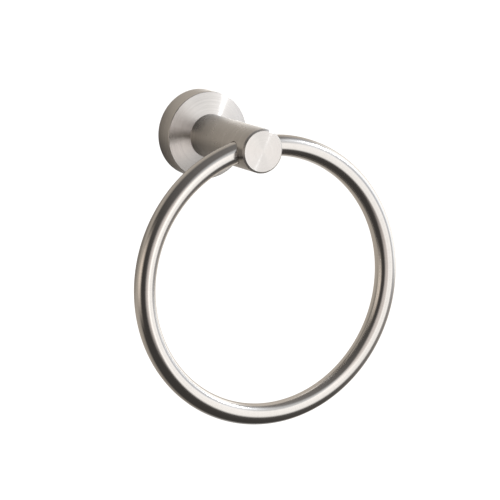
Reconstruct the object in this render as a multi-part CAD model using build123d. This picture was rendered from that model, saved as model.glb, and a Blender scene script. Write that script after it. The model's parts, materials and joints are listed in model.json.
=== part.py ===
from build123d import *
import math
import os

# Towel ring: a round rose on the wall, a post standing out of it and a tube ring through the post.
# The origin is the centre of the mounting face. +Y points into the wall, -Y into the room, +X is to the
# right as seen from the room and +Z is up. All sizes are in millimetres and degrees.

# Rose: the turned cup that stands on the wall and hides the bracket, its face coned up to the post's seat
rose_diameter = 50.0
rose_depth = 16.0
rose_face_rise = 3.0
rose_rim_wall = 3.0
rose_seat_wall = 6.0
rose_front_edge_radius = 0.6
rose_inner_corner_radius = 0.5
rose_back_edge_break = 0.3

# Post: the turned bar that carries the ring, with its end face this far from the wall
projection = 80.0
post_diameter = 25.0
post_end_chamfer = 1.0
post_foot_chamfer = 0.4

# Ring: the bent tube, measured across the middle of its bar, with its ends meeting inside the post
ring_mean_diameter = 153.0
ring_bar_diameter = 12.0
ring_tube_wall = 1.2
ring_joint_gap = 0.3
ring_joint_from_screw = 6.0

# Cross holes: where the ends of the ring go into the post, measured back from the end face
cross_hole_setback = 12.5
cross_hole_edge_break = 0.3

# Wall bracket: the disc inside the rose, with two wall holes and a groove for the rose's grub screw
bracket_thickness = 7.0
bracket_edge_break = 0.4
bracket_groove_depth = 2.0
bracket_groove_from_wall = 3.2
wall_hole_diameter = 5.2
wall_hole_spacing = 28.0
wall_hole_sink_diameter = 9.4
wall_hole_sink_angle = 90.0

# Post screw: the button-head screw that goes from inside the rose into the post
post_screw_diameter = 6.0
post_screw_length = 15.0
post_screw_head_diameter = 10.5
post_screw_head_height = 3.3
post_screw_head_rim = 0.9
post_screw_head_flat = 6.0
post_screw_dome_radius = 5.0
post_screw_key = 4.0
post_screw_key_depth = 2.0
post_tap_run_out = 3.0
post_tap_drill_angle = 118.0

# Rose grub screw: cone point, in the underside of the rose, set off the groove so that it pulls the rose in
rose_grub_diameter = 4.0
rose_grub_recess = 0.4
rose_grub_key = 2.0
rose_grub_key_depth = 2.0
rose_grub_pull = 0.3

# Ring grub screw: flat point, in the underside of the post
ring_grub_diameter = 5.0
ring_grub_recess = 1.0
ring_grub_point_diameter = 3.5
ring_grub_point_height = 0.8
ring_grub_key = 2.5
ring_grub_key_depth = 2.5

# Fits shared by the pieces
bracket_clearance = 0.3
post_screw_clearance = 0.25
post_screw_head_clearance = 1.75
thread_gap = 0.1
seat_gap = 0.05
screw_end_break = 0.3

# Places along the post's axis, and radii about it
rose_radius = rose_diameter / 2
rose_bore_radius = rose_radius - rose_rim_wall
rose_inner_y = rose_seat_wall - rose_depth
rose_edge_y = rose_face_rise - rose_depth
foot_y = -rose_depth
post_radius = post_diameter / 2
end_y = -projection
cross_hole_y = end_y + cross_hole_setback
bracket_radius = rose_bore_radius - bracket_clearance
groove_y = -bracket_groove_from_wall
groove_radius = bracket_radius - bracket_groove_depth

# The middle of the bar passes as far over the post's axis as it lies under it at the post's flanks.
ring_radius = ring_mean_diameter / 2
bar_radius = ring_bar_diameter / 2
flank_drop = ring_radius - math.sqrt(ring_radius**2 - post_radius**2)
ring_centre_z = flank_drop / 2 - ring_radius
bar_underside_z = ring_centre_z + ring_radius - bar_radius

# Each end of the ring has a hole of its own, drilled from that flank along the chord of the bend, with half
# of the bend's rise over the chord as room on either side.
cross_hole_tilt = math.degrees(math.asin(post_radius / ring_radius)) / 2
bend_rise = ring_radius * (1 - math.cos(math.radians(cross_hole_tilt)))
cross_hole_radius = bar_radius + bend_rise / 2 + seat_gap
cross_hole_from_centre = ring_radius - bend_rise / 2

# The cone of the rose's grub screw bears on the flank of the groove that is further from the wall.
rose_grub_y = groove_y - rose_grub_pull
rose_grub_tip_radius = groove_radius + rose_grub_pull + seat_gap * math.sqrt(2)

FROM_BASE = (Align.CENTER, Align.CENTER, Align.MIN)


def half_section(*points):
    """A closed outline of (radius, y) points to one side of the post's axis."""
    return make_face(Polyline(*points, close=True))


def rounded(section, corner, radius):
    """The section with the corner nearest to that point rounded off."""
    return fillet(section.vertices().sort_by_distance(corner)[0], radius)


def turned(section):
    """A half section spun about the post's axis."""
    return revolve(section, Axis.Y)


def standing(radius, low_z, high_z, y):
    """An upright cylinder under the post's axis, at that distance from the wall."""
    return Pos(0, y, low_z) * Cylinder(radius, high_z - low_z, align=FROM_BASE)


def key_socket(across_flats, depth):
    """A hexagonal socket that starts at z = 0 and is sunk upwards."""
    return extrude(RegularPolygon(across_flats / math.sqrt(3), 6), depth)


def make_rose():
    """A turned cup, open to the wall, with a hole for the post screw and a tapped hole in its underside."""
    screw_hole_radius = post_screw_diameter / 2 + post_screw_clearance
    section = half_section(
        (screw_hole_radius, foot_y),
        (post_radius, foot_y),
        (rose_radius, rose_edge_y),
        (rose_radius, -rose_back_edge_break),
        (rose_radius - rose_back_edge_break, 0),
        (rose_bore_radius + rose_back_edge_break, 0),
        (rose_bore_radius, -rose_back_edge_break),
        (rose_bore_radius, rose_inner_y),
        (screw_hole_radius, rose_inner_y),
    )
    section = rounded(section, (rose_radius, rose_edge_y), rose_front_edge_radius)
    section = rounded(section, (rose_bore_radius, rose_inner_y), rose_inner_corner_radius)
    tapped_hole = standing(rose_grub_diameter / 2, -rose_diameter, -bracket_radius, rose_grub_y)
    return turned(section) - tapped_hole


def cross_hole(side):
    """The hole for one end of the ring, from the middle of the post out through its left or right flank."""
    chord = Rot(0, side * cross_hole_tilt, 0) * Pos(0, 0, cross_hole_from_centre) * Rot(0, 90, 0)
    drill = Pos(0, cross_hole_y, ring_centre_z) * chord * Cylinder(cross_hole_radius, 2 * post_diameter)
    width = 2 * post_diameter
    return drill & (Pos(side * width / 2, cross_hole_y, 0) * Box(width, width, width))


def make_post():
    """A turned bar, tapped in its foot, with the ring's two cross holes and a tapped hole up into them."""
    tap_radius = post_screw_diameter / 2
    tap_end_y = rose_inner_y - post_screw_length - post_tap_run_out
    drill_point = tap_radius / math.tan(math.radians(post_tap_drill_angle / 2))
    bar = turned(
        half_section(
            (0, tap_end_y - drill_point),
            (tap_radius, tap_end_y),
            (tap_radius, foot_y),
            (post_radius - post_foot_chamfer, foot_y),
            (post_radius, foot_y - post_foot_chamfer),
            (post_radius, end_y + post_end_chamfer),
            (post_radius - post_end_chamfer, end_y),
            (0, end_y),
        )
    )
    bar = bar - cross_hole(-1) - cross_hole(1)
    curved_edges = bar.edges().filter_by(GeomType.LINE, reverse=True)
    mouths = [edge for edge in curved_edges if abs(edge.center(CenterOf.MASS).X) > post_radius / 2]
    bar = chamfer(mouths, cross_hole_edge_break)
    return bar - standing(ring_grub_diameter / 2, -post_diameter, 0, cross_hole_y)


def make_ring():
    """A tube bent round to a circle, its ends a hair apart where the post hides them."""
    joint_angle = math.degrees(math.asin(ring_joint_from_screw / ring_radius))
    gap_angle = math.degrees(ring_joint_gap / ring_radius)
    tube = Circle(bar_radius) - Circle(bar_radius - ring_tube_wall)
    centre = Pos(0, cross_hole_y, ring_centre_z)
    first_end = centre * Rot(0, joint_angle + gap_angle / 2, 0) * Pos(0, 0, ring_radius)
    bend_axis = Axis(centre.position, (0, 1, 0))
    return revolve(first_end * (Plane.YZ * tube), bend_axis, 360 - gap_angle)


def make_wall_bracket():
    """A turned disc with a V groove round it, room for the post screw's head and two countersunk holes."""
    front_y = -bracket_thickness
    head_room = post_screw_head_diameter / 2 + post_screw_head_clearance
    disc = turned(
        half_section(
            (head_room, 0),
            (bracket_radius - bracket_edge_break, 0),
            (bracket_radius, -bracket_edge_break),
            (bracket_radius, groove_y + bracket_groove_depth),
            (groove_radius, groove_y),
            (bracket_radius, groove_y - bracket_groove_depth),
            (bracket_radius, front_y + bracket_edge_break),
            (bracket_radius - bracket_edge_break, front_y),
            (head_room, front_y),
        )
    )
    hole_radius = wall_hole_diameter / 2
    sink_radius = wall_hole_sink_diameter / 2
    sink_depth = (sink_radius - hole_radius) / math.tan(math.radians(wall_hole_sink_angle / 2))
    for x in (-wall_hole_spacing / 2, wall_hole_spacing / 2):
        drilled_from_front = Pos(x, front_y, 0) * Rot(-90, 0, 0)
        disc -= drilled_from_front * Cylinder(hole_radius, bracket_thickness, align=FROM_BASE)
        disc -= drilled_from_front * Cone(sink_radius, hole_radius, sink_depth, align=FROM_BASE)
    return disc


def make_post_screw():
    """A button-head screw: the head lies inside the rose and the thread reaches into the post."""
    thread_radius = post_screw_diameter / 2 - thread_gap
    head_radius = post_screw_head_diameter / 2
    head_top_y = rose_inner_y + post_screw_head_height
    tip_y = rose_inner_y - post_screw_length
    rim = (head_radius, rose_inner_y + post_screw_head_rim)
    flat = (post_screw_head_flat / 2, head_top_y)
    stem = Polyline(
        flat,
        (0, head_top_y),
        (0, tip_y),
        (thread_radius - screw_end_break, tip_y),
        (thread_radius, tip_y + screw_end_break),
        (thread_radius, rose_inner_y),
        (head_radius, rose_inner_y),
        rim,
    )
    dome = RadiusArc(rim, flat, -post_screw_dome_radius)
    socket = Pos(0, head_top_y, 0) * Rot(90, 0, 0) * key_socket(post_screw_key, post_screw_key_depth)
    return turned(make_face(Curve() + [stem, dome])) - socket


def make_rose_grub_screw():
    """A socket set screw whose cone reaches into the bracket's groove."""
    thread_radius = rose_grub_diameter / 2 - thread_gap
    outer_end = rose_radius - rose_grub_recess
    shank_end = rose_grub_tip_radius + thread_radius
    outline = Polyline(
        (0, -outer_end),
        (thread_radius - screw_end_break, -outer_end),
        (thread_radius, screw_end_break - outer_end),
        (thread_radius, -shank_end),
        (0, -rose_grub_tip_radius),
        close=True,
    )
    screw = revolve(Plane.XZ * make_face(outline), Axis.Z)
    screw -= Pos(0, 0, -outer_end) * key_socket(rose_grub_key, rose_grub_key_depth)
    return Pos(0, rose_grub_y, 0) * screw


def make_ring_grub_screw():
    """A socket set screw whose flat point bears on the underside of the ring's bar."""
    thread_radius = ring_grub_diameter / 2 - thread_gap
    point_radius = ring_grub_point_diameter / 2
    outer_end = post_radius - ring_grub_recess
    point_z = bar_underside_z - seat_gap
    outline = Polyline(
        (0, -outer_end),
        (thread_radius - screw_end_break, -outer_end),
        (thread_radius, screw_end_break - outer_end),
        (thread_radius, point_z - ring_grub_point_height),
        (point_radius, point_z),
        (0, point_z),
        close=True,
    )
    screw = revolve(Plane.XZ * make_face(outline), Axis.Z)
    screw -= Pos(0, 0, -outer_end) * key_socket(ring_grub_key, ring_grub_key_depth)
    return Pos(0, cross_hole_y, 0) * screw


pieces = {
    "wall_bracket": make_wall_bracket(),
    "rose": make_rose(),
    "rose_grub_screw": make_rose_grub_screw(),
    "post": make_post(),
    "post_screw": make_post_screw(),
    "ring": make_ring(),
    "ring_grub_screw": make_ring_grub_screw(),
}
os.makedirs("parts", exist_ok=True)
for node, piece in pieces.items():
    export_step(piece, f"parts/{node}.step")
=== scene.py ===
import json
import math

import bmesh
import bpy
import numpy as np
from mathutils import Matrix, Vector


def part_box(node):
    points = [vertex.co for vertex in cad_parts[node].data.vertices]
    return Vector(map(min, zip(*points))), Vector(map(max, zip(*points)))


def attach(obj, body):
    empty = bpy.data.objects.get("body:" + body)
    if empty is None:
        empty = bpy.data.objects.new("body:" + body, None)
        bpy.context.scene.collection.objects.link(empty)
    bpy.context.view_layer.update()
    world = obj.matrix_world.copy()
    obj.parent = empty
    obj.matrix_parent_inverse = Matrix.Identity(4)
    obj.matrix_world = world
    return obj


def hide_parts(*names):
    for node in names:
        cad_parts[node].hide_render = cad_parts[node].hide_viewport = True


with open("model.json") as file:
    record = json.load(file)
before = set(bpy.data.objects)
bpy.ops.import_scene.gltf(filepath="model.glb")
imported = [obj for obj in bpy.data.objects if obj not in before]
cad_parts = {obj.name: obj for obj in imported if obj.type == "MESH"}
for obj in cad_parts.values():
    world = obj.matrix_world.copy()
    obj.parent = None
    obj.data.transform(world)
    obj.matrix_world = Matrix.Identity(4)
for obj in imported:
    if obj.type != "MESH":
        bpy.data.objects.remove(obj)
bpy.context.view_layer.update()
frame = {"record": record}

# Wall bracket: the disc that two countersunk screws hold to the wall, hidden inside the rose. It is turned
# from steel and zinc plated. A V groove round its rim takes the point of the rose's grub screw, and its
# middle hole clears the head of the post screw.
MM = 0.001
FULL_TURN = 2 * math.pi
bracket_radius = 0.0217
bracket_front_y = -0.007
bracket_edge_break = 0.0004
bracket_head_room = 0.007
bracket_groove_depth = 0.002
bracket_groove_y = -0.0032
mounts = {mount["name"]: mount for mount in frame["record"]["mounts"]}
wall_holes = mounts["wall_screws"]["dims"]
wall_hole_x = wall_holes["spacing_x_mm"] * MM / 2
wall_hole_radius = wall_holes["hole_r_mm"] * MM
wall_hole_sink_radius = 0.0047
wall_hole_middles = (math.pi / 2, 3 * math.pi / 2)
hole_half_turn = math.radians(40)
bracket_per_side = 24
bracket_plain_steps = 60
bracket_hole_turns = np.linspace(-hole_half_turn, hole_half_turn, bracket_per_side + 1)
bracket_plain_turns = np.linspace(hole_half_turn, math.pi - hole_half_turn, bracket_plain_steps + 1)


def spin(profile, turn):
    """A profile of (radius, y) points turned about the post's axis: x is the radius times the sine of the
    turn, z is the radius times its cosine, and y stays. Rows follow the profile, columns the turn."""
    radius, y = np.array(profile, float).T
    x = np.outer(radius, np.sin(turn))
    z = np.outer(radius, np.cos(turn))
    return np.stack([x, np.outer(y, np.ones_like(turn)), z], -1)


def hole_directions(per_side):
    """Directions that go evenly once round a hole, from the corner at minus 135 degrees."""
    first_corner = -3 * math.pi / 4
    return np.linspace(first_corner, first_corner + FULL_TURN, 4 * per_side + 1)


def around_hole(rim, low, high, per_side, rows=6):
    """A panel of two parameters with a hole in it. The border goes evenly round the rectangle from low to
    high, the rim goes evenly round the hole from the same corner, and each row is a straight mix of both."""
    corners = np.array([low, (high[0], low[1]), high, (low[0], high[1]), low], float)
    step = np.arange(per_side)[:, None] / per_side
    sides = [start * (1 - step) + end * step for start, end in zip(corners[:-1], corners[1:])]
    border = np.concatenate([*sides, corners[:1]])
    share = np.linspace(0, 1, rows + 1)[:, None, None]
    return np.stack(rim(hole_directions(per_side)), -1) * (1 - share) + border * share


def bridge(first, second, rows=1):
    """Rows of points that go straight from one edge curve to another."""
    share = np.linspace(0, 1, rows + 1)[:, None, None]
    return first * (1 - share) + second * share


def build_piece(name, skins, finish_uv=()):
    """One closed mesh from grids of points: neighbours on a grid make quads, points closer than the merge
    distance become one, and edges sharper than the crease angle stay sharp."""
    merge_distance = 1e-6
    crease_angle = math.radians(12)
    points, quads, count = [], [], 0
    for skin in skins:
        rows, columns = skin.shape[:2]
        number = count + np.arange(rows * columns).reshape(rows, columns)
        corners = [number[:-1, :-1], number[1:, :-1], number[1:, 1:], number[:-1, 1:]]
        quads.append(np.stack(corners, -1).reshape(-1, 4))
        points.append(skin.reshape(-1, 3))
        count += rows * columns
    quads = np.concatenate(quads)
    mesh = bpy.data.meshes.new(name)
    mesh.from_pydata(np.concatenate(points).tolist(), [], quads.tolist())
    if finish_uv:
        corner_uv = np.concatenate([grid.reshape(-1, 2) for grid in finish_uv])[quads.ravel()]
        mesh.uv_layers.new(name="finish").data.foreach_set("uv", corner_uv.astype(np.float32).ravel())
    work = bmesh.new()
    work.from_mesh(mesh)
    bmesh.ops.remove_doubles(work, verts=work.verts, dist=merge_distance)
    bmesh.ops.recalc_face_normals(work, faces=work.faces)
    work.to_mesh(mesh)
    work.free()
    mesh.polygons.foreach_set("use_smooth", np.ones(len(mesh.polygons), bool))
    mesh.set_sharp_from_angle(angle=crease_angle)
    piece = bpy.data.objects.new(name, mesh)
    bpy.context.scene.collection.objects.link(piece)
    return piece


def bracket_face(y, hole_radius):
    """A flat ring face at that depth, with a panel of radius and turn round each of its two holes. A rim's
    radius and turn are the length and the angle of the hole's middle plus the hole's own radius in each
    direction. Gives the skins and the rims of the holes."""
    inner = bracket_head_room
    outer = bracket_radius - bracket_edge_break
    plain_radius = np.linspace(inner, outer, bracket_per_side + 1)
    plain_rows = np.stack([plain_radius, np.full_like(plain_radius, y)], -1)
    skins, rims = [], []
    for middle in wall_hole_middles:
        def rim(direction):
            along = wall_hole_x + hole_radius * np.cos(direction)
            aside = hole_radius * np.sin(direction)
            return np.hypot(along, aside), middle + np.arctan2(aside, along)

        low = (inner, middle - hole_half_turn)
        high = (outer, middle + hole_half_turn)
        radius, turn = np.moveaxis(around_hole(rim, low, high, bracket_per_side), -1, 0)
        skins.append(np.stack([radius * np.sin(turn), np.full_like(turn, y), radius * np.cos(turn)], -1))
        rims.append(skins[-1][0])
        skins.append(spin(plain_rows, middle + bracket_plain_turns))
    return skins, rims


front_skins, sink_rims = bracket_face(bracket_front_y, wall_hole_sink_radius)
back_skins, hole_rims = bracket_face(0.0, wall_hole_radius)
bracket_skins = front_skins + back_skins
sink_end_y = bracket_front_y + wall_hole_sink_radius - wall_hole_radius
for sink_rim, hole_rim in zip(sink_rims, hole_rims):
    throat = hole_rim + np.array([0, sink_end_y, 0])
    bracket_skins += [bridge(sink_rim, throat), bridge(throat, hole_rim)]
half_round = np.concatenate([bracket_hole_turns[:-1], bracket_plain_turns[:-1]])
both_halves = [middle + half_round for middle in wall_hole_middles]
bracket_turns = np.concatenate([*both_halves, wall_hole_middles[0] + bracket_hole_turns[:1]])
bracket_bore_profile = [
    (bracket_head_room, bracket_front_y),
    (bracket_head_room, 0),
]
bracket_rim_profile = [
    (bracket_radius - bracket_edge_break, 0),
    (bracket_radius, -bracket_edge_break),
    (bracket_radius, bracket_groove_y + bracket_groove_depth),
    (bracket_radius - bracket_groove_depth, bracket_groove_y),
    (bracket_radius, bracket_groove_y - bracket_groove_depth),
    (bracket_radius, bracket_front_y + bracket_edge_break),
    (bracket_radius - bracket_edge_break, bracket_front_y),
]
bracket_skins.append(spin(bracket_bore_profile, bracket_turns))
bracket_skins.append(spin(bracket_rim_profile, bracket_turns))
bracket = build_piece("bracket", bracket_skins)


def tool_lines_group():
    """Fine lines left by a tool or a brush. Noise in four dimensions changes fast across the lines and
    slowly along them, and a second, larger noise gives patches where the finish is a little duller."""
    line_detail = 3.0
    line_sharpness = 0.65
    patches_per_metre = 90.0
    patch_detail = 2.0
    group = bpy.data.node_groups.new("tool lines", "ShaderNodeTree")
    sockets = group.interface
    for socket in ("Across", "Line Width", "Line Length"):
        sockets.new_socket(socket, in_out="INPUT", socket_type="NodeSocketFloat")
    sockets.new_socket("Place", in_out="INPUT", socket_type="NodeSocketVector")
    for socket in ("Lines", "Patches"):
        sockets.new_socket(socket, in_out="OUTPUT", socket_type="NodeSocketFloat")
    nodes, links = group.nodes, group.links
    given = nodes.new("NodeGroupInput")
    result = nodes.new("NodeGroupOutput")
    across = nodes.new("ShaderNodeMath")
    across.operation = "DIVIDE"
    links.new(given.outputs["Across"], across.inputs[0])
    links.new(given.outputs["Line Width"], across.inputs[1])
    along = nodes.new("ShaderNodeVectorMath")
    along.operation = "DIVIDE"
    links.new(given.outputs["Place"], along.inputs[0])
    links.new(given.outputs["Line Length"], along.inputs[1])
    lines = nodes.new("ShaderNodeTexNoise")
    lines.noise_dimensions = "4D"
    lines.inputs["Scale"].default_value = 1.0
    lines.inputs["Detail"].default_value = line_detail
    lines.inputs["Roughness"].default_value = line_sharpness
    links.new(across.outputs[0], lines.inputs["W"])
    links.new(along.outputs[0], lines.inputs["Vector"])
    links.new(lines.outputs["Fac"], result.inputs["Lines"])
    patches = nodes.new("ShaderNodeTexNoise")
    patches.inputs["Scale"].default_value = patches_per_metre
    patches.inputs["Detail"].default_value = patch_detail
    links.new(given.outputs["Place"], patches.inputs["Vector"])
    links.new(patches.outputs["Fac"], result.inputs["Patches"])
    return group


tool_lines = tool_lines_group()


def steel_material(
    name, dull, bright, roughness, line_width, line_length, line_depth, anisotropy, across
):
    """Bare or plated steel with tool lines: they tint the metal between two tones and give it a shallow
    relief, and their patches spread its roughness round a mean. across(nodes, links, place) gives the
    distance counted across the lines."""
    roughness_spread = 0.1
    material = bpy.data.materials.new(name)
    material.use_nodes = True
    nodes, links = material.node_tree.nodes, material.node_tree.links
    shader = nodes["Principled BSDF"]
    shader.inputs["Metallic"].default_value = 1.0
    shader.inputs["Anisotropic"].default_value = anisotropy
    place = nodes.new("ShaderNodeTexCoord").outputs["Object"]
    lines = nodes.new("ShaderNodeGroup")
    lines.node_tree = tool_lines
    lines.inputs["Line Width"].default_value = line_width
    lines.inputs["Line Length"].default_value = line_length
    links.new(place, lines.inputs["Place"])
    links.new(across(nodes, links, place), lines.inputs["Across"])
    tint = nodes.new("ShaderNodeMix")
    tint.data_type = "RGBA"
    tint.inputs["A"].default_value = (*dull, 1)
    tint.inputs["B"].default_value = (*bright, 1)
    links.new(lines.outputs["Lines"], tint.inputs["Factor"])
    links.new(tint.outputs["Result"], shader.inputs["Base Color"])
    spread = nodes.new("ShaderNodeMapRange")
    spread.inputs["To Min"].default_value = roughness * (1 - roughness_spread)
    spread.inputs["To Max"].default_value = roughness * (1 + roughness_spread)
    links.new(lines.outputs["Patches"], spread.inputs["Value"])
    links.new(spread.outputs["Result"], shader.inputs["Roughness"])
    relief = nodes.new("ShaderNodeBump")
    relief.inputs["Strength"].default_value = 1.0
    relief.inputs["Distance"].default_value = line_depth
    links.new(lines.outputs["Lines"], relief.inputs["Height"])
    links.new(relief.outputs["Normal"], shader.inputs["Normal"])
    return material


def across_turning(nodes, links, place):
    """On a turned piece the lines are circles about the post's axis, so the count is the distance from that
    axis plus the distance along it."""
    flat = nodes.new("ShaderNodeVectorMath")
    flat.operation = "MULTIPLY"
    flat.inputs[1].default_value = (1, 0, 1)
    links.new(place, flat.inputs[0])
    radius = nodes.new("ShaderNodeVectorMath")
    radius.operation = "LENGTH"
    links.new(flat.outputs["Vector"], radius.inputs[0])
    split = nodes.new("ShaderNodeSeparateXYZ")
    links.new(place, split.inputs[0])
    total = nodes.new("ShaderNodeMath")
    total.operation = "ADD"
    links.new(radius.outputs["Value"], total.inputs[0])
    links.new(split.outputs["Y"], total.inputs[1])
    return total.outputs[0]


def turned_steel(name, **finish):
    """Steel with the circles that turning leaves. They scatter light away from the post's axis, so the
    shader's tangent runs round that axis and its anisotropy is turned a quarter from it."""
    circle_length = 0.03
    quarter_turn = 0.25
    material = steel_material(name, line_length=circle_length, across=across_turning, **finish)
    nodes, links = material.node_tree.nodes, material.node_tree.links
    tangent = nodes.new("ShaderNodeTangent")
    tangent.direction_type = "RADIAL"
    tangent.axis = "Y"
    shader = nodes["Principled BSDF"]
    shader.inputs["Anisotropic Rotation"].default_value = quarter_turn
    links.new(tangent.outputs["Tangent"], shader.inputs["Tangent"])
    return material


zinc_plate = turned_steel(
    "zinc plate",
    dull=(0.44, 0.45, 0.47),
    bright=(0.72, 0.72, 0.73),
    roughness=0.36,
    line_width=0.0008,
    line_depth=0.00001,
    anisotropy=0.6,
)
bracket.data.materials.append(zinc_plate)
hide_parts("wall_bracket")
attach(bracket, "root")

# Rose: the round cover that slips over the bracket and stands on the wall. It is turned from stainless steel
# as a cup with a shallow cone for its face, brushed in circles, with one tapped hole in its underside.
rose_radius = 0.025
rose_seat_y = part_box("rose")[0].y
rose_seat_radius = 0.0125
rose_cone_height = 0.003
rose_face_slope = math.atan2(rose_cone_height, rose_radius - rose_seat_radius)
rose_front_wall = 0.006
rose_inner_y = rose_seat_y + rose_front_wall
rose_bore_radius = 0.022
rose_edge_radius = 0.0006
rose_corner_radius = 0.0005
rose_edge_break = 0.0003
rose_screw_hole_radius = 0.00325
rose_tap_radius = 0.002
rose_tap_y = -0.0035
rose_tap_zone_y = -0.007
tap_half_turn = math.radians(11.5)
rose_per_side = 12
rose_rest_steps = 180
rose_tap_turns = np.linspace(math.pi - tap_half_turn, math.pi + tap_half_turn, rose_per_side + 1)
rose_rest_turns = np.linspace(math.pi + tap_half_turn, 3 * math.pi - tap_half_turn, rose_rest_steps + 1)
rose_turns = np.concatenate([rose_tap_turns[:-1], rose_rest_turns])


def arc(middle, radius, start, end, steps=10):
    """Points of a round stretch in a profile, from one angle to another about its middle."""
    angle = np.linspace(start, end, steps + 1)
    return list(zip(middle[0] + radius * np.cos(angle), middle[1] + radius * np.sin(angle)))


def tapped_wall(radius):
    """The strip of a round wall that the tapped hole goes through, as a panel of y and turn, and the rest
    of that strip. The hole is a circle seen along its own axis, so its turn is the arc sine of its radius
    times the sine of the direction, over the wall's radius."""
    def rim(direction):
        aside = rose_tap_radius * np.sin(direction) / radius
        return rose_tap_y + rose_tap_radius * np.cos(direction), math.pi + np.arcsin(aside)

    low = (rose_tap_zone_y, math.pi - tap_half_turn)
    high = (-rose_edge_break, math.pi + tap_half_turn)
    y, turn = np.moveaxis(around_hole(rim, low, high, rose_per_side), -1, 0)
    panel = np.stack([radius * np.sin(turn), y, radius * np.cos(turn)], -1)
    rest_y = np.linspace(low[0], high[0], rose_per_side + 1)
    rest = spin(np.stack([np.full_like(rest_y, radius), rest_y], -1), rose_rest_turns)
    return panel, rest


outer_panel, outer_rest = tapped_wall(rose_radius)
inner_panel, inner_rest = tapped_wall(rose_bore_radius)
front_edge_rise = (rose_radius - rose_edge_radius - rose_seat_radius) * math.tan(rose_face_slope)
front_edge_y = rose_seat_y + front_edge_rise + rose_edge_radius / math.cos(rose_face_slope)
front_edge_middle = (rose_radius - rose_edge_radius, front_edge_y)
inner_corner_middle = (rose_bore_radius - rose_corner_radius, rose_inner_y + rose_corner_radius)
rose_front_profile = [
    (rose_bore_radius, rose_tap_zone_y),
    *arc(inner_corner_middle, rose_corner_radius, 0, -math.pi / 2),
    (rose_screw_hole_radius, rose_inner_y),
    (rose_screw_hole_radius, rose_seat_y),
    (rose_seat_radius, rose_seat_y),
    *arc(front_edge_middle, rose_edge_radius, rose_face_slope - math.pi / 2, 0),
    (rose_radius, rose_tap_zone_y),
]
rose_back_profile = [
    (rose_radius, -rose_edge_break),
    (rose_radius - rose_edge_break, 0),
    (rose_bore_radius + rose_edge_break, 0),
    (rose_bore_radius, -rose_edge_break),
]
rose = build_piece(
    "rose_cover",
    [
        spin(rose_front_profile, rose_turns),
        spin(rose_back_profile, rose_turns),
        outer_panel,
        outer_rest,
        inner_panel,
        inner_rest,
        bridge(outer_panel[0], inner_panel[0]),
    ],
)


def finish_turned_piece(piece, face_steel, side_steel):
    """The faces that look into the room, whose normal's y is below the limit, take the first material, and
    the flanks and the inside take the second."""
    room_limit = -0.8
    piece.data.materials.append(face_steel)
    piece.data.materials.append(side_steel)
    normals = np.empty(3 * len(piece.data.polygons))
    piece.data.polygons.foreach_get("normal", normals)
    piece.data.polygons.foreach_set("material_index", (normals[1::3] > room_limit).astype(np.int32))


rose_face_steel = turned_steel(
    "rose face",
    dull=(0.56, 0.545, 0.53),
    bright=(0.76, 0.745, 0.73),
    roughness=0.23,
    line_width=0.0008,
    line_depth=0.000003,
    anisotropy=1.0,
)
turned_flank = {
    "dull": (0.50, 0.485, 0.465),
    "bright": (0.75, 0.735, 0.715),
    "roughness": 0.28,
    "line_width": 0.0009,
    "line_depth": 0.000003,
    "anisotropy": 0.95,
}
rose_rim_steel = turned_steel("rose rim", **turned_flank)
finish_turned_piece(rose, rose_face_steel, rose_rim_steel)
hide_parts("rose")
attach(rose, "root")

# Rose grub screw: the socket set screw in the underside of the rose. It is stainless steel with a rolled M4
# thread, and its cone bites on the bracket's groove and draws the rose to the wall.
rose_grub_low_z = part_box("rose_grub_screw")[0].z
rose_grub_tip_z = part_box("rose_grub_screw")[1].z
rose_grub_radius = 0.0019
rose_grub_pitch = 0.0007
rose_grub_key = 0.002
rose_grub_key_depth = 0.002
screw_end_break = 0.0003


def threaded(outline, pitch, steps=48):
    """A screw's threaded barrel along the axis. Its radius is the smaller of the outline's, given as
    (height, radius) points, and a thread's, whose depth is a triangle wave of height over pitch less the
    share of a turn, cut flat at its crests and roots."""
    rows_per_pitch = 12
    depth_share = 0.55
    flat_share = 0.125
    outline_height, outline_radius = np.array(outline, float).T
    rows = int(math.ceil((outline_height[-1] - outline_height[0]) / pitch * rows_per_pitch))
    height = np.union1d(np.linspace(outline_height[0], outline_height[-1], rows + 1), outline_height)
    turn = np.linspace(0, FULL_TURN, steps + 1)
    wave = np.abs(2 * ((height[:, None] / pitch - turn / FULL_TURN) % 1) - 1)
    cut = np.clip((1 + 2 * flat_share) * wave - flat_share, 0, 1)
    thread = outline_radius.max() - depth_share * pitch * cut
    radius = np.minimum(np.interp(height, outline_height, outline_radius)[:, None], thread)
    return np.stack([radius * np.sin(turn), height[:, None] + 0 * turn, radius * np.cos(turn)], -1)


def grub_barrel(low_z, point_z, radius, point_radius, point_height, pitch):
    """A grub screw's barrel: a broken edge round its socket, then the full radius, then a straight taper
    over the height of its point."""
    outline = [
        (low_z, radius - screw_end_break),
        (low_z + screw_end_break, radius),
        (point_z - point_height, radius),
        (point_z, point_radius),
    ]
    return threaded(outline, pitch)


def end_face(edge):
    """A flat face from an edge curve straight in to the axis."""
    return bridge(edge, edge * np.array([0, 1, 0]), rows=3)


def key_socket(edge, across_flats, depth):
    """A hexagonal socket sunk from an edge curve on a flat end: a face from the edge to the hexagon, six
    walls and a floor. The hexagon's radius is half its width over the cosine of the angle from the middle of
    the nearest flat."""
    flat_turn = math.pi / 3
    turn = np.linspace(0, FULL_TURN, len(edge))
    radius = across_flats / 2 / np.cos(turn % flat_turn - flat_turn / 2)
    height = edge[0, 1]
    mouth = np.stack([radius * np.sin(turn), np.full_like(turn, height), radius * np.cos(turn)], -1)
    floor = mouth + np.array([0, depth, 0])
    return [bridge(edge, mouth), bridge(mouth, floor, rows=4), end_face(floor)]


def stood_under_post(skins, y):
    """Skins made along the axis, stood upright at that distance from the wall."""
    return [np.stack([skin[..., 0], y + skin[..., 2], skin[..., 1]], -1) for skin in skins]


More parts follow.
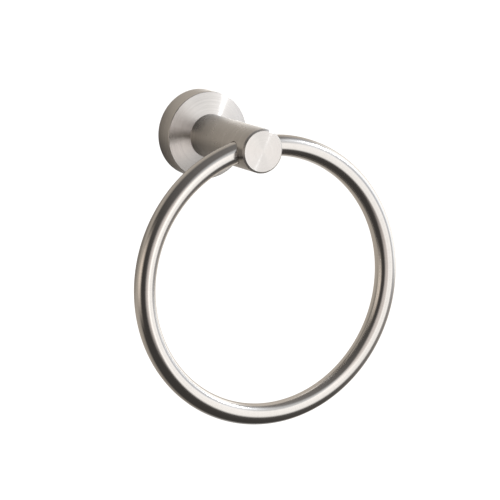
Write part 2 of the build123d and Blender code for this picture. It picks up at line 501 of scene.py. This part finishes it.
rose_grub_barrel = grub_barrel(
    rose_grub_low_z,
    rose_grub_tip_z,
    rose_grub_radius,
    point_radius=0,
    point_height=rose_grub_radius,
    pitch=rose_grub_pitch,
)
rose_grub_socket = key_socket(rose_grub_barrel[0], rose_grub_key, rose_grub_key_depth)
rose_grub_skins = [rose_grub_barrel, *rose_grub_socket]
rose_grub = build_piece("rose_set_screw", stood_under_post(rose_grub_skins, rose_tap_y))


def across_height(nodes, links, place):
    """On an upright screw the lines left by rolling follow its height, so the count is z."""
    split = nodes.new("ShaderNodeSeparateXYZ")
    links.new(place, split.inputs[0])
    return split.outputs["Z"]


screw_steel = steel_material(
    "set screw steel",
    dull=(0.40, 0.39, 0.38),
    bright=(0.52, 0.51, 0.50),
    roughness=0.3,
    line_width=0.0002,
    line_length=0.004,
    line_depth=0.000004,
    anisotropy=0.0,
    across=across_height,
)
rose_grub.data.materials.append(screw_steel)
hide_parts("rose_grub_screw")
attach(rose_grub, "root")

# Post: the round bar that stands out from the rose and carries the ring, turned from stainless steel. It is
# drilled from both flanks for the ends of the ring, along two holes that are tilted to follow the ring's
# bend and have broken edges, and it is tapped in its foot and its underside.
post_radius = 0.0125
post_end_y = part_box("post")[0].y
post_foot_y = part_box("post")[1].y
post_end_chamfer = 0.001
post_foot_chamfer = 0.0004
post_tap_radius = 0.003
post_tap_end_y = -0.028
drill_half_angle = math.radians(59)
post_tap_point_y = post_tap_end_y - post_tap_radius / math.tan(drill_half_angle)
ring_radius = 0.0765
ring_bar_radius = 0.006
# The ring's bend rises as far above the post's axis in the middle as it falls below it at the flanks.
ring_centre_z = -(ring_radius + math.sqrt(ring_radius**2 - post_radius**2)) / 2
cross_hole_inset = 0.0125
cross_hole_y = post_end_y + cross_hole_inset
cross_hole_tilt = math.asin(post_radius / ring_radius) / 2
cross_hole_clearance = 0.00005
# Each hole's axis follows the bend's chord at half of the bend's rise, so the bar strays that half from it.
bend_rise = ring_radius * (1 - math.cos(cross_hole_tilt))
cross_hole_radius = ring_bar_radius + bend_rise / 2 + cross_hole_clearance
cross_hole_z = ring_centre_z + (ring_radius - bend_rise / 2) / math.cos(cross_hole_tilt)
cross_hole_break = 0.0003
cross_hole_zone = 0.010
post_grub_hole_radius = 0.0025
post_grub_zone = 0.005
post_per_side = 40
roof_steps = 20
side_turns = (math.radians(30), math.radians(150))


def on_post(y, turn):
    """The point of the post's flank at that y and turn: x and z are the post's radius times the sine and
    the cosine of the turn."""
    return np.stack([post_radius * np.sin(turn), y, post_radius * np.cos(turn)], -1)


def mouth_turn(direction, radius):
    """The turn at which a round hole along the tilted axis comes out of the flank. Seen along that axis the
    height is the axis's own less the hole's radius times the sine of the direction, and its share of the
    post's radius is the cosine of the turn less the tilt."""
    height = cross_hole_z * math.cos(cross_hole_tilt) - radius * np.sin(direction)
    return cross_hole_tilt + np.arccos(height / post_radius)


def saddle_rim(direction):
    """Where the broken edge of a cross hole meets the flank: a circle seen along the hole's axis, wider
    than the hole by the break."""
    radius = cross_hole_radius + cross_hole_break
    return cross_hole_y + radius * np.cos(direction), mouth_turn(direction, radius)


def flank_grub_rim(direction):
    """The grub screw's hole on the underside of the flank, a circle seen along its upright axis: the turn
    is half a turn less the arc sine of the hole's radius times the sine of the direction, over the post's
    radius."""
    aside = post_grub_hole_radius * np.sin(direction) / post_radius
    return cross_hole_y - post_grub_hole_radius * np.cos(direction), math.pi - np.arcsin(aside)


def bore_grub_rim(direction):
    """The same hole where it comes through the floor of the cross holes, as an angle about their axis and
    an x: the angle is a quarter turn plus the arc sine of the hole's radius times the cosine of the
    direction, over the cross holes' radius."""
    aside = post_grub_hole_radius * np.cos(direction) / cross_hole_radius
    return math.pi / 2 + np.arcsin(aside), post_grub_hole_radius * np.sin(direction)


def in_bore(direction, x):
    """The point of the cross holes' wall at that angle about the axis and that x. The axis falls to both
    sides of the post's middle by x times the tangent of the tilt, and upright the holes' radius is
    divided by the cosine of the tilt."""
    y = cross_hole_y + cross_hole_radius * np.cos(direction) + 0 * x
    fall = np.abs(x) * math.tan(cross_hole_tilt)
    z = cross_hole_z - fall - cross_hole_radius * np.sin(direction) / math.cos(cross_hole_tilt)
    return np.stack([x + 0 * direction, y, z], -1)


zone_low_y = cross_hole_y - cross_hole_zone
zone_high_y = cross_hole_y + cross_hole_zone
side_low = (zone_low_y, side_turns[0])
side_high = (zone_high_y, side_turns[1])
side_panel = around_hole(saddle_rim, side_low, side_high, post_per_side)
side_skin = on_post(side_panel[..., 0], side_panel[..., 1])
under_low = (zone_high_y, FULL_TURN - side_turns[1])
under_high = (zone_low_y, side_turns[1])
under_panel = around_hole(flank_grub_rim, under_low, under_high, post_per_side)
under_skin = on_post(under_panel[..., 0], under_panel[..., 1])
roof_turns = np.linspace(-side_turns[0], side_turns[0], roof_steps + 1)
zone_y = np.linspace(zone_low_y, zone_high_y, post_per_side + 1)
roof_skin = spin(np.stack([np.full_like(zone_y, post_radius), zone_y], -1), roof_turns)

bore_direction = hole_directions(post_per_side)
bore_edge_x = post_radius * np.sin(mouth_turn(bore_direction, cross_hole_radius)) - cross_hole_break
bore_edge = in_bore(bore_direction, bore_edge_x)
bore_near = in_bore(bore_direction, np.full_like(bore_direction, post_grub_zone))
bore_x = np.linspace(post_grub_zone, -post_grub_zone, post_per_side + 1)[:, None]
floor_low = (math.pi / 4, -post_grub_zone)
floor_high = (3 * math.pi / 4, post_grub_zone)
floor_panel = around_hole(bore_grub_rim, floor_low, floor_high, post_per_side)
floor_skin = in_bore(floor_panel[..., 0], floor_panel[..., 1])
before_floor = bore_direction[: 2 * post_per_side + 1]
after_floor = bore_direction[3 * post_per_side :]
mirror_x = np.array([-1, 1, 1])
post_skins = [roof_skin, side_skin, side_skin * mirror_x, under_skin, floor_skin]
post_skins.append(bridge(under_skin[0], floor_skin[0]))
for side in (1, mirror_x):
    post_skins.append(bridge(side_skin[0] * side, bore_edge * side))
    post_skins.append(bridge(bore_edge * side, bore_near * side, rows=4))
for direction in (before_floor, after_floor):
    post_skins.append(in_bore(direction, bore_x))

side_steps = np.linspace(*side_turns, post_per_side + 1)
under_steps = np.linspace(side_turns[1], FULL_TURN - side_turns[1], post_per_side + 1)
post_turns = np.concatenate([roof_turns[:-1], side_steps[:-1], under_steps[:-1], side_steps + math.pi])
post_end_profile = [
    (0, post_end_y),
    (post_radius - post_end_chamfer, post_end_y),
    (post_radius, post_end_y + post_end_chamfer),
    (post_radius, zone_low_y),
]
post_foot_profile = [
    (post_radius, zone_high_y),
    (post_radius, post_foot_y - post_foot_chamfer),
    (post_radius - post_foot_chamfer, post_foot_y),
    (post_tap_radius, post_foot_y),
    (post_tap_radius, post_tap_end_y),
    (0, post_tap_point_y),
]
post_skins.append(spin(post_end_profile, post_turns))
post_skins.append(spin(post_foot_profile, post_turns))
post = build_piece("post_bar", post_skins)
post_end_steel = turned_steel(
    "post end",
    dull=(0.61, 0.595, 0.58),
    bright=(0.71, 0.695, 0.68),
    roughness=0.25,
    line_width=0.0006,
    line_depth=0.000002,
    anisotropy=1.0,
)
post_flank_steel = turned_steel("post flank", **turned_flank)
finish_turned_piece(post, post_end_steel, post_flank_steel)
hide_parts("post")
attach(post, "root")

# Post screw: the button-head screw that goes through the rose from behind and pulls the post against its
# face. It is stainless steel, cold headed, with a rolled M6 thread and a hexagonal socket.
post_screw_tip_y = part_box("post_screw")[0].y
post_screw_top_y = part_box("post_screw")[1].y
post_screw_radius = 0.0029
post_screw_pitch = 0.001
post_screw_head_radius = 0.00525
post_screw_head_rim = 0.0009
post_screw_head_flat = 0.003
post_screw_dome_radius = 0.005
post_screw_key = 0.004
post_screw_key_depth = 0.002

post_screw_outline = [
    (post_screw_tip_y, post_screw_radius - screw_end_break),
    (post_screw_tip_y + screw_end_break, post_screw_radius),
    (rose_inner_y, post_screw_radius),
]
screw_barrel = threaded(post_screw_outline, post_screw_pitch)
# The dome's middle stands off from the middle of the chord between the head's rim and its flat top.
dome_rim = np.array([post_screw_head_radius, rose_inner_y + post_screw_head_rim])
dome_flat = np.array([post_screw_head_flat, post_screw_top_y])
half_chord = (dome_flat - dome_rim) / 2
inward = np.array([-half_chord[1], half_chord[0]]) / np.linalg.norm(half_chord)
dome_offset = math.sqrt(post_screw_dome_radius**2 - half_chord @ half_chord)
dome_middle = dome_rim + half_chord + inward * dome_offset
dome_start = math.atan2(dome_rim[1] - dome_middle[1], dome_rim[0] - dome_middle[0])
dome_end = math.atan2(dome_flat[1] - dome_middle[1], dome_flat[0] - dome_middle[0])
head_profile = [
    (post_screw_head_radius, rose_inner_y),
    *arc(dome_middle, post_screw_dome_radius, dome_start, dome_end),
]
screw_head = spin(head_profile, np.linspace(0, FULL_TURN, screw_barrel.shape[1]))
post_screw = build_piece(
    "post_button_screw",
    [
        screw_barrel,
        end_face(screw_barrel[0]),
        bridge(screw_barrel[-1], screw_head[0]),
        screw_head,
        *key_socket(screw_head[-1], post_screw_key, -post_screw_key_depth),
    ],
)
post_screw.data.materials.append(screw_steel)
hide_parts("post_screw")
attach(post_screw, "root")

# Ring: the round tube bent to a full circle, its two ends a hair apart inside the post. It is stainless
# steel tube, bent, then brushed round the bar to a satin finish.
ring_tube_radius = 0.0048
ring_joint_x = 0.006
ring_joint_gap = 0.0003
ring_steps = 480
bar_steps = 72


def bent_tube(bar_radius):
    """A tube bent to a ring: the middle of the bar goes round a circle about the y direction, and each point
    of its wall stands off from there by the bar's radius, at an angle from the outward direction. Gives the
    points, and the shares of a turn along the ring and round the bar."""
    joint = math.asin(ring_joint_x / ring_radius)
    half_gap = ring_joint_gap / ring_radius / 2
    bend = np.linspace(joint + half_gap, joint + FULL_TURN - half_gap, ring_steps + 1)[:, None]
    around = np.linspace(0, FULL_TURN, bar_steps + 1)[None, :]
    reach = ring_radius + bar_radius * np.cos(around)
    x = reach * np.sin(bend)
    y = cross_hole_y - bar_radius * np.sin(around) + 0 * bend
    z = ring_centre_z + reach * np.cos(bend)
    return np.stack([x, y, z], -1), np.stack([bend + 0 * around, around + 0 * bend], -1) / FULL_TURN


ring_outside, ring_uv = bent_tube(ring_bar_radius)
ring_inside, inside_uv = bent_tube(ring_tube_radius)
ring_ends = [bridge(ring_outside[row], ring_inside[row]) for row in (0, -1)]
end_uv = [bridge(ring_uv[row], inside_uv[row]) for row in (0, -1)]
ring = build_piece("ring_tube", [ring_outside, ring_inside, *ring_ends], [ring_uv, inside_uv, *end_uv])


def across_bend(nodes, links, place):
    """On the ring the lines go round the bar, so the count is the length along the ring: the angle about its
    middle times its radius. The angle's jump lies at the top, inside the post."""
    centred = nodes.new("ShaderNodeVectorMath")
    centred.operation = "SUBTRACT"
    centred.inputs[1].default_value = (0, 0, ring_centre_z)
    links.new(place, centred.inputs[0])
    split = nodes.new("ShaderNodeSeparateXYZ")
    links.new(centred.outputs["Vector"], split.inputs[0])
    below = nodes.new("ShaderNodeMath")
    below.operation = "MULTIPLY"
    below.inputs[1].default_value = -1
    links.new(split.outputs["Z"], below.inputs[0])
    angle = nodes.new("ShaderNodeMath")
    angle.operation = "ARCTAN2"
    links.new(split.outputs["X"], angle.inputs[0])
    links.new(below.outputs[0], angle.inputs[1])
    length = nodes.new("ShaderNodeMath")
    length.operation = "MULTIPLY"
    length.inputs[1].default_value = ring_radius
    links.new(angle.outputs[0], length.inputs[0])
    return length.outputs[0]


satin_ring = steel_material(
    "satin ring",
    dull=(0.57, 0.555, 0.535),
    bright=(0.69, 0.675, 0.655),
    roughness=0.17,
    line_width=0.0006,
    line_length=0.012,
    line_depth=0.0000015,
    anisotropy=0.4,
    across=across_bend,
)
satin_shader = satin_ring.node_tree.nodes["Principled BSDF"]
ring_tangent = satin_ring.node_tree.nodes.new("ShaderNodeTangent")
ring_tangent.direction_type = "UV_MAP"
ring_tangent.uv_map = "finish"
satin_ring.node_tree.links.new(ring_tangent.outputs["Tangent"], satin_shader.inputs["Tangent"])
ring.data.materials.append(satin_ring)
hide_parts("ring")
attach(ring, "root")

# Ring grub screw: the socket set screw in the underside of the post. It is stainless steel with a rolled M5
# thread, and its flat point presses the ring against the roof of the cross holes.
ring_grub_low_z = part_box("ring_grub_screw")[0].z
ring_grub_point_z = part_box("ring_grub_screw")[1].z
ring_grub_radius = 0.0024
ring_grub_pitch = 0.0008
ring_grub_point_radius = 0.00175
ring_grub_point_height = 0.0008
ring_grub_key = 0.0025
ring_grub_key_depth = 0.0025

ring_grub_barrel = grub_barrel(
    ring_grub_low_z,
    ring_grub_point_z,
    ring_grub_radius,
    point_radius=ring_grub_point_radius,
    point_height=ring_grub_point_height,
    pitch=ring_grub_pitch,
)
ring_grub_socket = key_socket(ring_grub_barrel[0], ring_grub_key, ring_grub_key_depth)
ring_grub_skins = [ring_grub_barrel, *ring_grub_socket, end_face(ring_grub_barrel[-1])]
ring_grub = build_piece("ring_set_screw", stood_under_post(ring_grub_skins, cross_hole_y))
ring_grub.data.materials.append(screw_steel)
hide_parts("ring_grub_screw")
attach(ring_grub, "root")

# Studio: a pale floor far below in a white surround, soft-edged panels of light, one small lamp high on
# the right, and a glowing taupe wall behind the rose, dark where the rose shades it and bright in the
# small patch that the lamp leaves beside it. The wall is seen only where the metal mirrors it.
studio_middle = Vector((0, -0.05, -0.06))


def toward(longitude, latitude):
    """The direction that many degrees round from the room side, towards +X, and that many up: x and minus y
    are the sine and cosine of the first times the cosine of the second, and z is the sine of the second."""
    round_by, up_by = math.radians(longitude), math.radians(latitude)
    level = math.cos(up_by)
    return Vector((math.sin(round_by) * level, -math.cos(round_by) * level, math.sin(up_by)))


def light_panel(name, place, size, fade, brightness, colour):
    """A rectangular light that faces the object from a place of longitude, latitude and distance. Its size
    is the width and the height in degrees as seen from the object, and its energy is four times its area
    times its brightness, which rises in a smooth step from nothing at its edges to full at the fade, in
    degrees, inside them."""
    energy_per_brightness = 4
    half_width = 0.5
    longitude, latitude, distance = place
    light = bpy.data.lights.new(name, "AREA")
    light.shape = "RECTANGLE"
    light.size = 2 * distance * math.tan(math.radians(size[0] / 2))
    light.size_y = 2 * distance * math.tan(math.radians(size[1] / 2))
    light.energy = energy_per_brightness * light.size * light.size_y * brightness
    light.color = colour
    light.use_nodes = True
    nodes, links = light.node_tree.nodes, light.node_tree.links
    split = nodes.new("ShaderNodeSeparateXYZ")
    links.new(nodes.new("ShaderNodeNewGeometry").outputs["Parametric"], split.inputs[0])
    both = nodes.new("ShaderNodeMath")
    both.operation = "MULTIPLY"
    for row, axis in enumerate("XY"):
        from_edge = nodes.new("ShaderNodeMath")
        from_edge.operation = "PINGPONG"
        from_edge.inputs[1].default_value = half_width
        links.new(split.outputs[axis], from_edge.inputs[0])
        rise = nodes.new("ShaderNodeMapRange")
        rise.interpolation_type = "SMOOTHSTEP"
        rise.inputs["From Max"].default_value = min(fade / size[row], half_width)
        links.new(from_edge.outputs[0], rise.inputs["Value"])
        links.new(rise.outputs["Result"], both.inputs[row])
    links.new(both.outputs[0], nodes["Emission"].inputs["Strength"])
    panel = bpy.data.objects.new(name, light)
    direction = toward(longitude, latitude)
    panel.location = studio_middle + direction * distance
    panel.rotation_euler = direction.to_track_quat("Z", "Y").to_euler()
    panel.visible_camera = False
    bpy.context.scene.collection.objects.link(panel)
    return panel


light_panel(
    "front softbox",
    place=(31, -4, 1.04),
    size=(68, 72),
    fade=20,
    brightness=0.94,
    colour=(1.02, 1.0, 0.98),
)
light_panel(
    "front softbox edge",
    place=(-5, -1, 0.5),
    size=(58, 68),
    fade=24,
    brightness=0.55,
    colour=(1.1, 1.0, 0.95),
)
light_panel(
    "right softbox",
    place=(99.5, 4.5, 0.54),
    size=(55, 55),
    fade=8,
    brightness=0.62,
    colour=(0.98, 1.0, 1.0),
)
light_panel(
    "right softbox middle",
    place=(78, 13, 1.06),
    size=(73, 85),
    fade=29,
    brightness=0.38,
    colour=(0.93, 1.0, 1.12),
)
light_panel(
    "top softbox",
    place=(44.5, 35, 1.45),
    size=(98, 45),
    fade=29,
    brightness=0.46,
    colour=(0.97, 1.0, 1.03),
)
key_lamp = light_panel(
    "key lamp",
    place=(80, 28, 2.0),
    size=(4, 6),
    fade=1,
    brightness=250.0,
    colour=(0.96, 1.0, 1.05),
)
# The key lamp only counts where it shines on the metal directly, so its mirror images leave no specks.
key_lamp.data.cycles.max_bounces = 0
light_panel(
    "left card",
    place=(-86, 8, 2.76),
    size=(50, 68),
    fade=34,
    brightness=0.75,
    colour=(1.15, 1.0, 0.86),
)
light_panel(
    "low right card",
    place=(101.5, -27, 0.45),
    size=(124, 61),
    fade=29,
    brightness=0.12,
    colour=(1.08, 1.0, 0.95),
)
light_panel(
    "low back card",
    place=(160, -45.5, 2.1),
    size=(37, 48),
    fade=12,
    brightness=0.13,
    colour=(0.9, 1.0, 1.1),
)

wall_half_size = (1.1, 0.36)
wall_middle = (-0.04, -0.04)
wall_y = 0.001
wall_glow = 0.35
wall_colour = (1.12, 1.0, 0.86)
rose_shadow_middle = (-0.009, -0.003)
lamp_shadow_middle = (-0.075, -0.035)
lamp_shadow_size = (0.09, 0.05)
lamp_patch_middle = (0.038, 0.0225)
lamp_patch_size = (0.036, 0.017)
card_corners = np.array([[-1, -1], [1, -1], [1, 1], [-1, 1]])


def flat_card(name, points, material):
    """One rectangle between four points."""
    mesh = bpy.data.meshes.new(name)
    mesh.from_pydata(points.tolist(), [], [(0, 1, 2, 3)])
    mesh.materials.append(material)
    card = bpy.data.objects.new(name, mesh)
    bpy.context.scene.collection.objects.link(card)
    return card


wall_light = bpy.data.materials.new("wall glow")
wall_light.use_nodes = True
wall_nodes, wall_links = wall_light.node_tree.nodes, wall_light.node_tree.links
wall_nodes.clear()
wall_place = wall_nodes.new("ShaderNodeTexCoord").outputs["Object"]


def wall_share(middle, scale, inner, outer, near, far):
    """A smooth step from the near value to the far one as the distance from a middle, counted in that scale
    each way, goes from inner to outer."""
    mapped = wall_nodes.new("ShaderNodeMapping")
    mapped.vector_type = "TEXTURE"
    mapped.inputs["Location"].default_value = (middle[0], wall_y, middle[1])
    mapped.inputs["Scale"].default_value = (scale[0], 1, scale[1])
    wall_links.new(wall_place, mapped.inputs["Vector"])
    distance = wall_nodes.new("ShaderNodeVectorMath")
    distance.operation = "LENGTH"
    wall_links.new(mapped.outputs["Vector"], distance.inputs[0])
    share = wall_nodes.new("ShaderNodeMapRange")
    share.interpolation_type = "SMOOTHSTEP"
    share.inputs["From Min"].default_value = inner
    share.inputs["From Max"].default_value = outer
    share.inputs["To Min"].default_value = near
    share.inputs["To Max"].default_value = far
    wall_links.new(distance.outputs["Value"], share.inputs["Value"])
    return share.outputs["Result"]


def times(first, second):
    """The product of two values."""
    product = wall_nodes.new("ShaderNodeMath")
    product.operation = "MULTIPLY"
    wall_links.new(first, product.inputs[0])
    wall_links.new(second, product.inputs[1])
    return product.outputs[0]


def plus(first, second):
    """The sum of two shaders."""
    total = wall_nodes.new("ShaderNodeAddShader")
    wall_links.new(first, total.inputs[0])
    wall_links.new(second, total.inputs[1])
    return total.outputs["Shader"]


wall_fall = wall_share(wall_middle, wall_half_size, inner=0, outer=1, near=wall_glow, far=0)
rose_shadow = wall_share(rose_shadow_middle, (MM, MM), inner=12, outer=34, near=0, far=1)
lamp_shadow = wall_share(lamp_shadow_middle, lamp_shadow_size, inner=0.4, outer=1.6, near=0.6, far=1.4)
lamp_patch = wall_share(lamp_patch_middle, lamp_patch_size, inner=0.5, outer=1.1, near=1.1, far=0)
# Only the room side of the wall glows.
room_side = wall_nodes.new("ShaderNodeMath")
room_side.operation = "SUBTRACT"
room_side.inputs[0].default_value = 1
wall_links.new(wall_nodes.new("ShaderNodeNewGeometry").outputs["Backfacing"], room_side.inputs[1])
wall_strength = times(times(wall_fall, rose_shadow), times(lamp_shadow, room_side.outputs[0]))
wall_emission = wall_nodes.new("ShaderNodeEmission")
wall_emission.inputs["Color"].default_value = (*wall_colour, 1)
wall_links.new(wall_strength, wall_emission.inputs["Strength"])
patch_emission = wall_nodes.new("ShaderNodeEmission")
wall_links.new(times(lamp_patch, room_side.outputs[0]), patch_emission.inputs["Strength"])
wall_lights = plus(wall_emission.outputs["Emission"], patch_emission.outputs["Emission"])
see_through = wall_nodes.new("ShaderNodeBsdfTransparent")
wall_output = wall_nodes.new("ShaderNodeOutputMaterial")
wall_links.new(plus(wall_lights, see_through.outputs["BSDF"]), wall_output.inputs["Surface"])
wall_corners = card_corners * wall_half_size + wall_middle
wall_points = np.column_stack([wall_corners[:, 0], np.full(4, wall_y), wall_corners[:, 1]])
wall = flat_card("wall_glow", wall_points, wall_light)
wall.visible_camera = False
wall.visible_diffuse = False
wall.visible_shadow = False

floor_z = -3.0
floor_half_size = 60.0
floor_tone = (0.9, 0.9, 0.9)
floor_paint = bpy.data.materials.new("pale floor")
floor_paint.use_nodes = True
floor_shader = floor_paint.node_tree.nodes["Principled BSDF"]
floor_shader.inputs["Base Color"].default_value = (*floor_tone, 1)
floor_shader.inputs["Emission Color"].default_value = (1, 1, 1, 1)
floor_shader.inputs["Emission Strength"].default_value = 1.0
floor_points = np.column_stack([card_corners * floor_half_size, np.full(4, floor_z)])
floor = flat_card("floor", floor_points, floor_paint)
floor.visible_glossy = False
floor.visible_diffuse = False

surround_tone = (0.065, 0.06, 0.056)
world = bpy.data.worlds.new("studio")
bpy.context.scene.world = world
world.use_nodes = True
sky_nodes, sky_links = world.node_tree.nodes, world.node_tree.links
sky_nodes.clear()


def sky_glow(longitude, latitude, inner, outer, colour):
    """A soft round glow in the surround: full colour within the inner angle, in degrees, fading in a smooth
    step to nothing at the outer one."""
    facing = sky_nodes.new("ShaderNodeVectorMath")
    facing.operation = "DOT_PRODUCT"
    facing.inputs[1].default_value = toward(longitude, latitude)
    sky_links.new(sky_nodes.new("ShaderNodeTexCoord").outputs["Generated"], facing.inputs[0])
    angle = sky_nodes.new("ShaderNodeMath")
    angle.operation = "ARCCOSINE"
    sky_links.new(facing.outputs["Value"], angle.inputs[0])
    share = sky_nodes.new("ShaderNodeMapRange")
    share.interpolation_type = "SMOOTHSTEP"
    share.inputs["From Min"].default_value = math.radians(outer)
    share.inputs["From Max"].default_value = math.radians(inner)
    sky_links.new(angle.outputs[0], share.inputs["Value"])
    tint = sky_nodes.new("ShaderNodeVectorMath")
    tint.operation = "SCALE"
    tint.inputs[0].default_value = colour
    sky_links.new(share.outputs["Result"], tint.inputs["Scale"])
    return tint.outputs["Vector"]


upper_right_glow = sky_glow(longitude=78, latitude=38, inner=5, outer=120, colour=(0.22, 0.21, 0.205))
surround = sky_nodes.new("ShaderNodeVectorMath")
surround.operation = "ADD"
surround.inputs[1].default_value = surround_tone
sky_links.new(upper_right_glow, surround.inputs[0])
# The picture's own background is plain white, and the metal mirrors the dimmer surround.
seen_by = sky_nodes.new("ShaderNodeLightPath")
backdrop = sky_nodes.new("ShaderNodeMix")
backdrop.data_type = "RGBA"
backdrop.inputs["B"].default_value = (1, 1, 1, 1)
sky_links.new(seen_by.outputs["Is Camera Ray"], backdrop.inputs["Factor"])
sky_links.new(surround.outputs["Vector"], backdrop.inputs["A"])
sky = sky_nodes.new("ShaderNodeBackground")
sky_links.new(backdrop.outputs["Result"], sky.inputs["Color"])
sky_output = sky_nodes.new("ShaderNodeOutputWorld")
sky_links.new(sky.outputs["Background"], sky_output.inputs["Surface"])

# Camera: a long lens that looks at the ring from the room, a little above the post and to its left, and
# leans a few degrees.
camera_longitude = -26.63
camera_latitude = 13.59
camera_roll = math.radians(-6.21)
camera_distance = 2.22576
camera_aim = Vector((-0.01267, -0.07588, -0.05449))
camera_lens = 288
camera_sensor = 36
camera_data = bpy.data.cameras.new("camera")
camera_data.lens = camera_lens
camera_data.sensor_width = camera_sensor
camera = bpy.data.objects.new("camera", camera_data)
bpy.context.scene.collection.objects.link(camera)
back = toward(camera_longitude, camera_latitude)
level_camera = (-back).to_track_quat("-Z", "Y").to_matrix()
camera.location = camera_aim + back * camera_distance
camera.rotation_euler = (Matrix.Rotation(camera_roll, 3, back) @ level_camera).to_euler()
bpy.context.scene.camera = camera
bpy.context.scene.view_settings.view_transform = "Standard"
